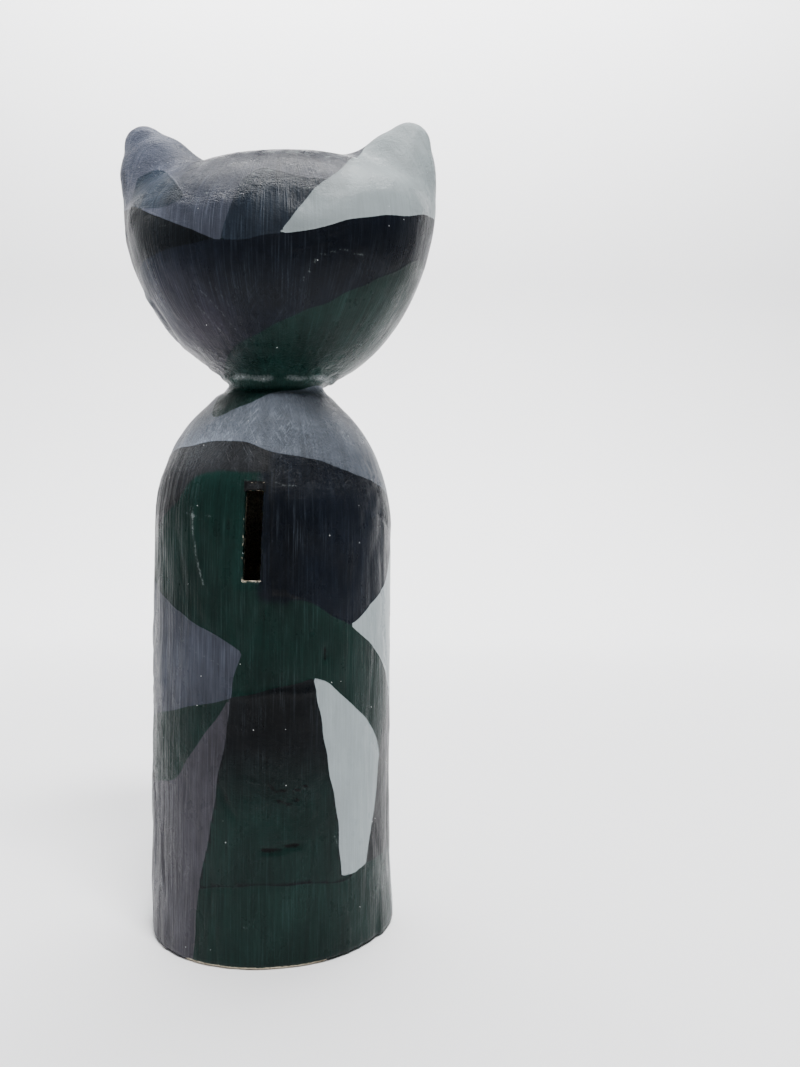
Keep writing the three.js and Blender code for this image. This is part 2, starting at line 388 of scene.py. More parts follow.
bodyBack = [
    ("coal", shoulderLow + [(84, 60), (50, 36), (-80, 36)]),
    ("pine", slotGreen),
    ("night", slotNight),
    ("mist", lobeRight + [(84, 160), (86, 76)] + cuspRight[::-1]),
    ("coal", [(53, 67), (56, 76), (62, 84), (76, 79), (92, 60), (92, 26), (60, 30)] + paleRight[::-1]),
    ("slate", slateTop + [(-7, 101)] + slateLow + [(-96, 76), (-96, 150)]),
    ("plum", plumRight + [(-96, -4), (-96, 56)] + wedgeLow),
    ("ink", plumRight[:4] + bottomTop[:-12] + paleLeft + [(6, 96)]),
    ("mist", paleTop + paleRight + [(38, 28.5)] + paleLeft),
    ("steel", shoulderLow + [(84, 230), (-84, 230), (-84, 172)]),
    ("pine", neckGreenLow + [(90, 230), (-90, 230)]),
]

chestLeft = curve([(-52, 214), (-46, 195), (-40, 178), (-36, 162), (-28, 145)]) + [(-6, 106)]
bodyFront = [
    ("ink", [(-58, 230), (-64, 180), (-62, 120), (-56, -4), (-6, -4), (-6, 230)]),
    ("pine", [(6, 230), (6, -4), (56, -4), (62, 120), (64, 180), (58, 230)]),
    ("ink", [(-5, 106), (-5, -4), (5, -4), (5, 106)]),
    ("slate", [(-36, 162), (-52, 172), (-58, 150), (-40, 112), (-5, 76), (-5, 104)]),
    ("plum", [(-58, 150), (-40, 112), (-5, 76), (-5, 18), (-30, 18), (-34, 60), (-46, 96), (-60, 128)]),
    ("dusk", [(36, 162), (5, 106), (30, 60), (40, 96), (46, 130), (46, 160)]),
    ("mist", [(5, 58), (5, 18), (30, 18)]),
    ("steel", chestLeft + mirrored(chestLeft)[::-1]),
]

paintNames = ("ink", "night", "slate", "dusk", "coal", "mist", "plum", "steel", "iris")
farInside, farOutside = 20.0, -20.0


def lineGap(across, up, line):
    # how far each point lies from a line drawn from point to point
    nearest = np.full(across.shape, 1e9)
    for (x0, z0), (x1, z1) in zip(line, line[1:]):
        dx, dz = x1 - x0, z1 - z0
        length = max(dx * dx + dz * dz, 1e-12)
        share = np.clip(((across - x0) * dx + (up - z0) * dz) / length, 0, 1)
        nearest = np.minimum(nearest, np.hypot(across - x0 - share * dx, up - z0 - share * dz))
    return nearest


def panelDepth(across, up, outline):
    # how deep inside the outline each point lies, below zero outside
    closed = outline + outline[:1]
    inside = np.zeros(across.shape, bool)
    for (x0, z0), (x1, z1) in zip(closed, closed[1:]):
        if z0 != z1:
            inside ^= ((z0 > up) != (z1 > up)) & (across < x0 + (up - z0) / (z1 - z0) * (x1 - x0))
    nearest = lineGap(across, up, closed)
    return np.where(inside, nearest, -nearest)


def layPaint(where, depth, name):
    # new paint takes the place of whatever it covers
    depth = np.where(where, depth, farOutside)
    for other, field in fields.items():
        fields[other] = np.maximum(field, depth) if other == name else np.minimum(field, -depth)


x, y, z = skin[..., 0], skin[..., 1], skin[..., 2]
handX = 0.35 * np.sin(z / 5.1 + 1.3) * np.sin(x / 7.3) + 0.2 * np.sin(z / 2.3 + x / 3.1)
handZ = 0.35 * np.sin(x / 6.2 + 0.4) * np.sin(y / 8.1 + z / 9.7) + 0.2 * np.sin(x / 2.7 - z / 3.9)
onHead = np.zeros(skin.shape[:2], bool)
onHead[:headRows + 1] = True
onTube = ~onHead
around = body["radius"] * np.arctan2(-(x - body["axisX"]), y)
aroundFront = body["radius"] * np.arctan2(x - body["axisX"], -y)
fields = {name: np.full(skin.shape[:2], farOutside) for name in paintNames}
# front and back of the head meet on a wavering line, where the back was painted a little over the front
seam = 1.0 + 3.0 * np.sin(z / 13 + 0.6) + 1.5 * np.sin(z / 5.2)
sides = [(headFront, onHead, x, seam - y), (headBack, onHead, -x, y - seam + 2.0),
         (bodyFront, onTube, aroundFront, farInside), (bodyBack, onTube, around, farInside)]
softNight = np.clip((around - 10) / 16, 0.07, 1)  # beside the slot the dark paint was dragged out dry
softGreen = np.clip((163 - z) / 12, 0.2, 1)
for panels, where, across, limit in sides:
    for name, outline in panels:
        depth = np.minimum(panelDepth(across + handX, z + handZ, outline), limit)
        if outline is slotNight:
            depth = depth * softNight
        if outline is slotGreen:
            depth = depth * softGreen
        layPaint(where, depth, name)

paws = {"places": ((-17, 14), (17, 14), (-66, 9), (66, 9)), "height": 19,
        "toes": (-22.5, -17, -11.5, 11.5, 17, 22.5), "toeTop": 15.5, "toeLine": 0.55}
face = {"mouthZ": 230, "mouthHalf": 17, "mouthLine": 0.5, "glintX": 27, "glintZ": 272, "glint": 1.6}
onFace = onHead & (y < 0)
for middle, width in paws["places"]:
    low = z + handZ - paws["height"] * 0.25
    reach = np.hypot((aroundFront + handX - middle) / width, low / paws["height"])
    layPaint(onTube, (1 - reach) * width, "mist")
for toe in paws["toes"]:
    line = paws["toeLine"] - np.abs(aroundFront + handX - toe)
    layPaint(onTube, np.minimum(line, paws["toeTop"] - z), "ink")
mouth = np.abs(z + handZ - (face["mouthZ"] + 3.2 * np.exp(-(x / 5) ** 2) - 0.5 * np.cos(x / 5)))
layPaint(onFace, np.minimum(face["mouthLine"] - mouth, face["mouthHalf"] - np.abs(x)), "dusk")
for glintX in (-face["glintX"], face["glintX"]):
    layPaint(onFace, face["glint"] - np.hypot(x - glintX, z - face["glintZ"]), "mist")
print("panels", sum(len(side[0]) for side in sides))

# Where the paper is rough, worn or scratched, where painted glints lie, and how light or dark it is painted,
# with painted light and shade, as one soft value per point
def bell(value, middle, width):
    return np.exp(-((value - middle) / width) ** 2)


def ramp(value, start, length):
    # from 0 at the start up to 1 over that length, or downwards from it when the length is below zero
    return np.clip((value - start) / length, 0, 1)


earness = onHead * ramp(np.abs(x), 28, 14)
onBack = onHead & (y > 0)
notFace = y > -20
farAway = 99


def bells(across, *rows):
    # soft round spots: how strong, where across and up, and how far they reach across and up
    return sum(strength * bell(across, middle, width) * bell(z, level, tall)
               for strength, middle, level, width, tall in rows)


crownFold = [(-60, 262), (-48, 270), (-35, 269), (-21, 263), (-7, 265), (3, 272), (13, 270), (27, 269),
             (44, 274)]
crownGap = np.where(onHead & notFace, lineGap(-x, z, crownFold), farAway)
underGap = np.where(onHead & notFace, lineGap(-x, z + 3, crownFold), farAway)
ruffle = 0.6 + 0.4 * np.sin(x / 2.9 + 2 * np.sin(x / 7.7)) * np.sin(x / 5.3 + 1)
# crumpled tissue along the crown's two folds, on the ears, at the neck and beside the slot
folded = 0.9 * ruffle * (bell(z, 287, 4) * (1 - 0.6 * earness) + bell(crownGap, 0, 3.0))
folded += 0.3 * earness * ramp(z, 268, 20)
folded *= onHead * np.where(-x > 24, 0.5, 1.0)
soft = {
    "crumple": 0.06 + folded + 0.5 * bell(z, 209, 4) + onHead * bells(-x, (0.3, 4, 218, 24, 8))
    + onTube * bells(around, (0.9, 26, 171, 24, 7), (0.7, 12, 184, 17, 5), (0.5, 8, 62, 14, 13),
                     (0.3, -50, 70, 16, 30)),
    "wrinkle": onTube * (0.2 + 1.0 * bell(around, -56, 24)) * ramp(z, 196, -30)
    + 0.35 * onHead * ramp(x, 25, 20) * ramp(z, 262, -20),
    "strip": 0.3 + 0.7 * onTube * ramp(z, 190, -30),
    "cross": onTube * bell(z, 190, 18) * ramp(z, 162, 8)
    + onTube * bells(around, (0.8, -24, 176, 20, 6)) + onBack * bells(-x, (0.6, 4, 228, 22, 10)),
    "violet": onBack * bells(-x, (0.75, -24, 221, 13, 9), (0.2, -34, 236, 14, 8)),
    # how light or dark the paint lies: partly the paint's own tone, partly painted light and shade, lighter
    # in the neck's crease, at the body's upper left and on the left of the shoulder, darker on the crown and
    # on the right of the shoulder
    "toneAndPaintedLight": 1 - onTube * bells(around, (0.45, 10, 140, 9, 34), (0.4, 4, 88, 13, 16), (-1.3, -26, 176, 22, 8),
                                (-0.25, -50, 190, 14, 16), (-0.2, 50, 150, 18, 26), (0.55, 40, 200, 25, 9),
                                (0.3, 56, 182, 16, 14), (0.12, 0, 190, 40, 12))
    - onBack * bells(-x, (0.3, 12, 248, 30, 8))
    - 0.25 * onHead * ramp(z, 262, 8) * (-x < 30) * (1 - earness) + 1.35 * earness * (x > 0)
    - 0.12 * onBack * (-x > 4) * ramp(z, 246, 8)
    + onBack * (fields["night"] > 0.3) * bells(-x, (0.5, -40, 238, 20, 10)) + 1.5 * bell(z, 205, 6),
    # where the brush was nearly dry and left hairs of lighter paint; the hairs are partly painted glints of
    # the varnish on the brush ridges, as down the left side and across the shoulder
    "dryAndGlint": onBack * bells(-x, (0.55, 0, 240, 26, 15), (0.3, -14, 258, 14, 8))
    + onTube * bells(around, (0.45, 6, 92, 14, 22), (0.8, -52, 130, 16, 60), (0.6, -30, 172, 24, 9),
                     (0.5, 12, 150, 8, 30), (0.5, -60, 30, 20, 40), (0.9, -4, 187, 40, 12)),
    # green laid over black
    "glaze": onTube * (y > 0) * (fields["ink"] > 0.5) * 0.85 * ramp(z, 76, -24),
    "skin": ramp(z, 0, 1.2) * (1 - 0.5 * earness * ramp(z, 280, 14)),
    "raw": (np.abs(around) < 26) * np.clip(1.3 - z / 0.9, 0, 1),
    "scuffAndGlint": np.zeros_like(x),
    "dent": 0.8 * ruffle * bell(underGap, 0, 3.2),
}

tubeMarks = [  # line round the tube, how wide, how deep; below zero is a ridge
    ([(3, 41), (9, 41.3), (15, 42.4)], 0.7, 1.2),
    ([(-2, 66), (3, 64), (7, 64.4), (12, 66), (16, 67)], 0.9, 0.6),
    ([(-4, 58), (4, 59.5), (9, 60), (14, 58.5), (19, 57)], 0.9, 0.6),
    ([(2, 71), (7, 70), (10, 71)], 0.7, 0.5),
    ([(5, 52), (11, 53), (14, 52)], 0.7, 0.4),
    ([(-12, 62), (-10, 57), (-7, 52)], 0.9, 0.6),
    ([(-10, 154), (-10, 150.5)], 0.6, 0.9),
    ([(25, 110), (25, 105.5)], 0.6, 1.1),
    ([(-24, 158), (-23, 150), (-21, 140), (-19, 132)], 0.6, -0.45),
    ([(-26, 150), (-26, 134), (-25, 116)], 0.6, -0.3),
    ([(-10, 93), (2, 94.4), (15, 94), (22, 95)], 0.8, -0.45),
    ([(-40, 96), (-52, 94)], 0.8, -0.35),
    ([(-20, 26.5), (-5, 29), (16, 28.2), (32, 27.4)], 0.7, 0.25),
    ([(-66, 130), (-64, 100), (-62, 70)], 0.9, -0.35),
    ([(-58, 160), (-60, 130), (-57, 95)], 0.8, -0.3),
    ([(-52, 60), (-48, 42), (-50, 22)], 0.9, 0.5),
    ([(-40, 50), (-42, 34), (-38, 20)], 0.8, 0.4),
    ([(30, 173), (36, 171), (40, 168)], 0.8, 0.6),
    ([(18, 168), (28, 166), (34, 168)], 0.8, 0.5),
    ([(40, 160), (50, 158), (60, 154)], 0.8, 0.4),
]
headMarks = [  # the same on the back of the head
    ([(-45, 236), (-41, 230), (-38, 223)], 0.8, 0.6),
    ([(-49, 240), (-46, 236)], 0.9, -0.6),
    ([(-40, 226), (-34, 219), (-28, 214)], 0.9, 0.4),
    ([(8, 246), (20, 248), (30, 252)], 0.8, -0.3),
    ([(-14, 215), (-6, 217), (4, 216)], 0.8, 0.4),
    ([(-6, 227), (8, 224), (16, 226)], 0.8, 0.35),
]
linesAndGlints = [  # loose fibres caught in the varnish, fine dry-brush lines, painted glints on the back of the crown, and dark cracks
    (onTube, [(-24, 158), (-23.5, 150), (-22, 140), (-19, 131)], 0.8),
    (onTube, [(-38, 150), (-36, 158), (-32, 164), (-26, 165)], 0.5),
    (onTube, [(-27, 156), (-20, 154), (-14, 156)], 0.6),
    (onTube, [(-30, 112), (-22, 108), (-12, 104)], 0.5),
    (onTube, [(6, 167), (10, 165.5), (14, 166)], 0.6),
    (onTube, [(-36, 128), (-32, 118), (-28, 112)], 0.5),
    (onTube, [(-20, 26), (-8, 29), (6, 29.5)], 0.4),
    (onTube, [(28, 44), (30, 41), (29, 38)], 0.6),
    (onTube, [(-4, 14), (-1, 16)], 0.7),
    (onHead, [(14, 236), (20, 244), (28, 247), (35, 246)], 0.6),
    (onHead, [(16, 228), (18, 233)], 0.5),
    (onHead, [(-22, 234), (-14, 226), (-8, 219)], 0.5),
    (onHead, [(-18, 236), (-10, 227), (-5, 219)], 0.5),
    (onHead, [(-24, 230), (-16, 221)], 0.5),
    (onHead, [(-48, 240), (-46, 236)], 0.9),
    (onHead, [(-36, 256), (-28, 257), (-22, 255)], 0.5),
    # painted glints: white flecks along the top of the crown and along its fold
    (onBack, [(-32, 283), (-28, 284)], 1.5),
    (onBack, [(-24, 283.6), (-19, 284.5), (-16, 286)], 1.6),
    (onBack, [(-10, 287), (-5, 288)], 1.5),
    (onBack, [(-2, 286.4), (2, 287)], 1.7),
    (onBack, [(6, 286.6), (12, 286.5), (15, 285.4)], 1.6),
    (onBack, [(18, 285), (26, 286)], 1.8),
    (onBack, [(-44, 287), (-40, 288)], 1.3),
    (onBack, [(-38, 277), (-33, 273)], 0.9),
    (onBack, [(-24, 266), (-19, 266.6)], 1.0),
    (onBack, [(-4, 274), (0, 276), (4, 275.4)], 1.2),
    (onBack, [(12, 267.5), (16, 267), (22, 270)], 1.0),
    (onTube, [(3, 41), (9, 41.3), (15, 42.4)], -1.0),
    (onTube, [(-10, 154), (-10, 150.5)], -0.9),
    (onTube, [(25, 110), (25, 105.5)], -1.0),
    (onTube, [(5, 63.5), (8, 61), (12, 62)], -0.9),
    (onTube, [(8, 58), (12, 57), (15, 58)], -0.9),
    (onTube, [(14, 61), (18, 63)], -0.8),
    (onTube, [(-10, 60), (-9, 56)], -0.7),
]
for where, chart, lines in ((onTube, around, tubeMarks), (onHead & notFace, -x, headMarks)):
    for line, width, depth in lines:
        soft["dent"] -= where * depth * bell(lineGap(chart, z + 1.5 * handZ, line), 0, width)
# on the flat crown a line keeps its width along the paper, so it is thinner in height
markWidth = 0.6
downhill = np.gradient(skin, axis=0)
steep = np.clip(np.abs(downhill[..., 2]) / np.maximum(np.linalg.norm(downhill, axis=-1), 1e-6), 0.3, 1)
# breaks the crown's painted glints into flecks
glintBreaks = np.clip(0.5 + 0.9 * np.sin(x / 0.9 + y / 1.7) * np.sin(x / 2.1 - y / 0.8), 0, 1)
for where, line, light in linesAndGlints:
    chart = around if where is onTube else -x
    thin, glintBroken = (steep, glintBreaks) if where is onBack else (1, 1)
    mark = bell(lineGap(chart, z + handZ, line), 0, markWidth * thin)
    soft["scuffAndGlint"] += (where & notFace) * light * glintBroken * mark

# the neck pinches in, lower behind than at the sides, under a lip of pasted paper
turn = np.arctan2(y, x)
nearNeck = np.hypot(x - body["axisX"], y) < 30
pinchZ = body["neckZ"] - 0.2 - 0.14 * np.clip(y, 0, body["neckRadius"])
pinch = z - (pinchZ + 0.3 * np.sin(3 * turn) + 0.25 * np.sin(8 * turn))
lip = 0.75 + 0.35 * np.sin(5 * turn + 1) * np.sin(11 * turn)
lipHighlight = 1.0 + 0.7 * np.sin(x / 2.3) * np.sin(x / 5.1 + 2)
soft["dent"] += nearNeck * (0.9 * bell(pinch, -4.6, 2.4) - bell(pinch, 0, 1.5) + lip * bell(pinch, 2.6, 1.1))
soft["dent"] -= onHead * 0.022 * x * bell(z, 215, 7)
# a painted highlight along the lip, at the back
soft["scuffAndGlint"] += nearNeck * (y > 0) * lipHighlight * bell(pinch, 3, 1.3)

# the foot is a little fuller on one side, where the last strip ends in a step
foot = ramp(around, 0, 55) * (around < 110)
soft["dent"] += 1.1 * foot * bell(z, 0, 26)
soft["dent"] += 0.8 * ramp(around, 50.5, 1.5) * (around < 80) * bell(z, 0, 12)

soft["raw"][-skinRows[-1] + 1:] = 0.75  # the underside was never painted with care
soft["skin"][-skinRows[-1] - 1:] = 0

# The shell as one closed mesh: skin, slot and cavity
top, bottom, left, right = hole
edgePoints = slot["columns"] + 1
ragged = {"side": 0.12, "bottom": 0.22, "top": 0.2, "wall": 0.06}  # how uneven the cut paper is
stepTop = top - skinRows[2]
skin[stepTop + 1:top + 1, left + 1:right, 1] -= slot["stepDepth"]
skin[top, left:right + 1, 1] -= slot["stepDepth"] * 0.5
sideways = rng.normal(0, ragged["side"], (bottom - top + 1, 2))
skin[top:bottom + 1, left, 0] += sideways[:, 0]
skin[top:bottom + 1, right, 0] += sideways[:, 1]
skin[bottom, left:right + 1, 2] += rng.normal(0, ragged["bottom"], edgePoints)
skin[top, left:right + 1, 2] += rng.normal(0, ragged["top"], edgePoints)
soft["raw"][bottom, left:right + 1] = rng.uniform(0.38, 0.54, edgePoints)
soft["raw"][stepTop, left:right + 1] = rng.uniform(0.1, 0.42, edgePoints)
soft["raw"][top:bottom, left] = np.where(rng.random(bottom - top) < 0.14, 0.42, 0.0)
# painted shadow all round the step, and its face a lighter bare grey
soft["toneAndPaintedLight"][stepTop:top + 1, left:right + 1] = 0.3
soft["toneAndPaintedLight"][stepTop + 1:top, left + 1:right] = 1.5
fields["coal"][stepTop:top + 1, left:right + 1] = 1.0
fields["night"][stepTop:top + 1, left:right + 1] = -1.0
soft["skin"][stepTop - 1:bottom + 2, left - 1:right + 2] = 0.25

points, corners, sizes, sheets = [], [], [], []
values = {name: [] for name in (*fields, *soft)}


def addGrid(grid, holeCells, outward, low, high, fieldOf):
    # a closed skin from its top point to its bottom point, less the cells of the slot;
    # low and high are the part of the texture sheet that it takes up
    rowTotal, columnTotal = grid.shape[:2]
    first = sum(len(part) for part in points)
    count = (rowTotal - 2) * columnTotal
    points.append(grid[:1, 0])
    points.append(grid[1:-1].reshape(-1, 3))
    points.append(grid[-1:, 0])
    for name in values:
        field = fieldOf(name)
        values[name] += [field[:1, 0], field[1:-1].ravel(), field[-1:, 0]]

    def index(row, column):
        row, column = np.broadcast_arrays(row, column)
        inner = first + 1 + (row - 1) * columnTotal + column % columnTotal
        return np.where(row == 0, first, np.where(row == rowTotal - 1, first + 1 + count, inner))

    topRow, bottomRow, leftColumn, rightColumn = holeCells
    for row in range(rowTotal - 1):
        column = np.arange(columnTotal)
        if topRow <= row < bottomRow:
            column = column[(column < leftColumn) | (column >= rightColumn)]
        here, below = (high - (high - low) * at / (rowTotal - 1) for at in (row, row + 1))
        u0, u1 = column / columnTotal, (column + 1) / columnTotal
        if row == 0:
            ring = [(index(0, column), (u0 + u1) / 2, here), (index(1, column), u0, below),
                    (index(1, column + 1), u1, below)]
        elif row == rowTotal - 2:
            ring = [(index(row, column), u0, here), (index(row + 1, column), (u0 + u1) / 2, below),
                    (index(row, column + 1), u1, here)]
        else:
            ring = [(index(row, column), u0, here), (index(row + 1, column), u0, below),
                    (index(row + 1, column + 1), u1, below), (index(row, column + 1), u1, here)]
        if not outward:
            ring = ring[::-1]
        corners.append(np.stack([c[0] for c in ring], 1).ravel())
        sheets.append(np.stack([np.c_[c[1], np.full(len(column), c[2])] for c in ring], 1).reshape(-1, 2))
        sizes.append(np.full(len(column), len(ring)))
    return index


def loopRound(index, cells):
    # the four sides of a hole, clockwise from its upper left corner as seen from outside
    topRow, bottomRow, leftColumn, rightColumn = cells
    across, down = np.arange(leftColumn, rightColumn + 1), np.arange(topRow, bottomRow + 1)
    return [index(topRow, across), index(down, rightColumn), index(bottomRow, across[::-1]),
            index(down[::-1], leftColumn)]


def bare(name, given, shape):
    # unpainted paper: outside every panel, and nothing else but what is given
    return np.full(shape, given.get(name, farOutside if name in fields else 0.0))


insideValues = {"raw": 1.0, "crumple": 0.3, "toneAndPaintedLight": 1.0}
sideValues = {"raw": 0.1, "crumple": 0.6, "toneAndPaintedLight": 0.5}
skinIndex = addGrid(skin, hole, outward=True, low=0.07, high=1.0,
                    fieldOf=lambda name: fields[name] if name in fields else soft[name])
cavityIndex = addGrid(cavity, cavityHole, outward=False, low=0.015, high=0.06,
                      fieldOf=lambda name: bare(name, insideValues, cavity.shape[:2]))
outerSides = loopRound(skinIndex, hole)
innerSides = loopRound(cavityIndex, cavityHole)
allPoints = np.vstack(points)
rings = [outerSides]
for share, rawness in ((0.3, 0.45), (1.0, 0.6)):
    sideLists = []
    start = sum(len(part) for part in points)
    outer = np.concatenate([side[:-1] for side in outerSides])
    spots = allPoints[outer].copy()
    spots[:, 1] += share * (body["radius"] - wall + 0.7 - spots[:, 1])
    spots[:, [0, 2]] += rng.normal(0, ragged["wall"], (len(outer), 2))
    points.append(spots)
    for name in values:
        value = bare(name, sideValues, len(outer))
        if name == "raw":
            value[spots[:, 2] < slot["bottom"] + 1] = rawness
        values[name].append(value)
    begin = 0
    for side in outerSides:
        sideLists.append(start + (begin + np.arange(len(side))) % len(outer))
        begin += len(side) - 1
    rings.append(sideLists)


def zipSides(first, second, u, v0, v1, width):
    # a strip of triangles between two rows of points that may differ in number
    i = j = 0
    while i < len(first) - 1 or j < len(second) - 1:
        stepFirst = (i + 1) / (len(first) - 1) if i < len(first) - 1 else 9
        stepSecond = (j + 1) / (len(second) - 1) if j < len(second) - 1 else 9
        here, there = i / (len(first) - 1), j / (len(second) - 1)
        if stepFirst <= stepSecond:
            corners.append([first[i], second[j], first[i + 1]])
            sheets.append([(u + width * here, v0), (u + width * there, v1), (u + width * stepFirst, v0)])
            i += 1
        else:
            corners.append([first[i], second[j], second[j + 1]])
            sheets.append([(u + width * here, v0), (u + width * there, v1), (u + width * stepSecond, v1)])
            j += 1
        sizes.append([3])


# where the slot's sides lie on the texture sheet, one strip above the other
sheet = {"side": 0.25, "gap": 0.002, "width": 0.24, "low": 0.001, "high": 0.004, "step": 0.004}
for number, (near, deep) in enumerate(zip(rings, rings[1:] + [innerSides])):
    for side, (a, b) in enumerate(zip(near, deep)):
        low, high = (sheet[edge] + number * sheet["step"] for edge in ("low", "high"))
        zipSides(a, b, side * sheet["side"] + sheet["gap"], low, high, sheet["width"])

corners = np.concatenate([np.ravel(c) for c in corners]).astype(np.int32)
sizes = np.concatenate(sizes).astype(np.int32)
sheets = np.concatenate([np.reshape(s, (-1, 2)) for s in sheets]).astype(np.float32)
points = np.vstack(points) * mm

mesh = bpy.data.meshes.new("cat_shell_painted")
mesh.vertices.add(len(points))
mesh.vertices.foreach_set("co", points.astype(np.float32).ravel())
mesh.loops.add(len(corners))
mesh.loops.foreach_set("vertex_index", corners)
mesh.polygons.add(len(sizes))
mesh.polygons.foreach_set("loop_start", np.r_[0, np.cumsum(sizes)[:-1]].astype(np.int32))
mesh.update(calc_edges=True)
mesh.validate()
mesh.uv_layers.new(name="OFBake").data.foreach_set("uv", sheets.ravel())
for name in values:
    attribute = mesh.attributes.new(name, "FLOAT", "POINT")
    attribute.data.foreach_set("value", np.concatenate(values[name]).astype(np.float32))
mesh.polygons.foreach_set("use_smooth", np.ones(len(sizes), bool))
shell = bpy.data.objects.new("cat_shell_painted", mesh)
bpy.context.scene.collection.objects.link(shell)
print("shell", len(points), "points", int((sizes - 2).sum()), "triangles")

# Pasted paper, as relief in the mesh
paperRelief = {"Lump Size": 24.0, "Lump Height": 0.4, "Crumple Size": 6.5, "Crumple Height": 0.55,
               "Strip Width": 15.0, "Strip Length": 62.0, "Strip Height": 0.22,
               "Wrinkle Width": 2.6, "Wrinkle Height": 0.45, "Seed": 3.0}
paste, given, result = groupTree(
    "pastedPaper", "GeometryNodeTree",
    [("Geometry", "NodeSocketGeometry", None), *numbers(paperRelief),
     ("Material", "NodeSocketMaterial", None)],
    [("Geometry", "NodeSocketGeometry")])


def named(tree, name):
    inputs = {"Name": name}
    return put(tree, "GeometryNodeInputNamedAttribute", {"data_type": "FLOAT"}, inputs).outputs["Attribute"]


def stretched(tree, vector, across, up):
    sizes = put(tree, "ShaderNodeCombineXYZ", None, {0: across, 1: across, 2: up}).outputs[0]
    return vec(tree, "DIVIDE", vector, sizes)


place = scaled(paste, put(paste, "GeometryNodeInputPosition").outputs[0], 1 / mm)
seed = given["Seed"]
lumpPlace = stretched(paste, place, given["Lump Size"], given["Lump Size"])
lumpNoise = noise(paste, lumpPlace, 1.5, 0.5, 0.0, seed)
lumps = times(paste, minus(paste, lumpNoise, 0.5), times(paste, given["Lump Height"], 4.0))
tall = times(paste, given["Crumple Size"], 0.55)
foldNoise = noise(paste, stretched(paste, place, given["Crumple Size"], tall), 3.0, 0.55, 0.8, seed)
fold = calc(paste, "ABSOLUTE", minus(paste, foldNoise, 0.5))
fold = smooth(paste, fold, 0.0, 0.16, 1.0, 0.0)
creases = times(paste, minus(paste, fold, 0.4), given["Crumple Height"])
swellNoise = noise(paste, stretched(paste, place, tall, tall), 2.0, 0.5, 0.3, seed)
swell = times(paste, minus(paste, swellNoise, 0.5), times(paste, given["Crumple Height"], 2.4))
crumple = times(paste, plus(paste, creases, swell), named(paste, "crumple"))
stripPlace = stretched(paste, place, given["Strip Width"], given["Strip Length"])
edgeGap = put(paste, "ShaderNodeTexVoronoi", {"feature": "DISTANCE_TO_EDGE", "voronoi_dimensions": "4D"},
              {"Vector": stripPlace, "W": seed, "Scale": 1.0, "Randomness": 0.9}).outputs["Distance"]
strips = times(paste, smooth(paste, edgeGap, 0.0, 0.09), given["Strip Height"])
strips = times(paste, strips, named(paste, "strip"))
lineNoise = noise(paste, stretched(paste, place, given["Wrinkle Width"], 34.0), 2.0, 0.6, 0.2, seed)
wrinkles = times(paste, minus(paste, lineNoise, 0.5), times(paste, given["Wrinkle Height"], 2.5))
wrinkles = times(paste, wrinkles, named(paste, "wrinkle"))
height = plus(paste, plus(paste, lumps, crumple), plus(paste, strips, wrinkles))
height = plus(paste, height, named(paste, "dent"))
height = times(paste, times(paste, height, named(paste, "skin")), mm)
offset = scaled(paste, put(paste, "GeometryNodeInputNormal").outputs[0], height)
spot = vec(paste, "ADD", put(paste, "GeometryNodeInputPosition").outputs[0], offset)
spot = vec(paste, "MAXIMUM", spot, (-1.0, -1.0, 0.0))  # nothing reaches below the table
moved = put(paste, "GeometryNodeSetPosition", None, {"Geometry": given["Geometry"], "Position": spot})
whole = put(paste, "GeometryNodeRealizeInstances", None, {"Geometry": moved.outputs[0]})
coated = put(paste, "GeometryNodeSetMaterial", None,
             {"Geometry": whole.outputs[0], "Material": given["Material"]})
paste.links.new(coated.outputs[0], result[0])

# Paint with painted light, shade and glints, varnish and dust
paint = {"pine": (11, 29, 26), "ink": (8, 11, 14), "night": (12, 16, 23), "slate": (51, 54, 63),
         "dusk": (28, 34, 42), "coal": (24, 25, 27), "mist": (134, 143, 145), "plum": (50, 49, 55),
         "steel": (72, 77, 85), "iris": (42, 76, 80), "paper": (150, 136, 112), "violet": (40, 36, 47),
         "palePaper": (214, 204, 184), "scuffAndHighlight": (120, 128, 128), "paintedGlint": (176, 182, 184),
         "crack": (4, 5, 6), "dust": (205, 208, 208)}
paint = {name: srgb(*colour) for name, colour in paint.items()}
hairGlintPaint = (0.020, 0.024, 0.028)
varnish = {"ior": 1.18, "bright": 0.24, "dull": 0.38}
brush = {"Width": 0.42, "Length": 16.0}
specks = {"Spacing": 5.0, "Size": 0.034, "Amount": 0.45}

layer, given, result = groupTree(
    "paintLayer", "ShaderNodeTree",
    [("Under", "NodeSocketColor", (0, 0, 0, 1)), ("Paint", "NodeSocketColor", (1, 1, 1, 1)),
     *numbers({"Depth": 0.0, "Waver": 0.0, "Edge Before": 0.0})],
    [("Color", "NodeSocketColor"), ("Edge", "NodeSocketFloat")])
wavered = plus(layer, given["Depth"], given["Waver"])
share = smooth(layer, wavered, -0.12, 0.12)
layer.links.new(mixColour(layer, share, given["Under"], given["Paint"]), result["Color"])
ridge = smooth(layer, calc(layer, "ABSOLUTE", wavered), 0.0, 0.55, 1.0, 0.0)
layer.links.new(calc(layer, "MAXIMUM", ridge, given["Edge Before"]), result["Edge"])

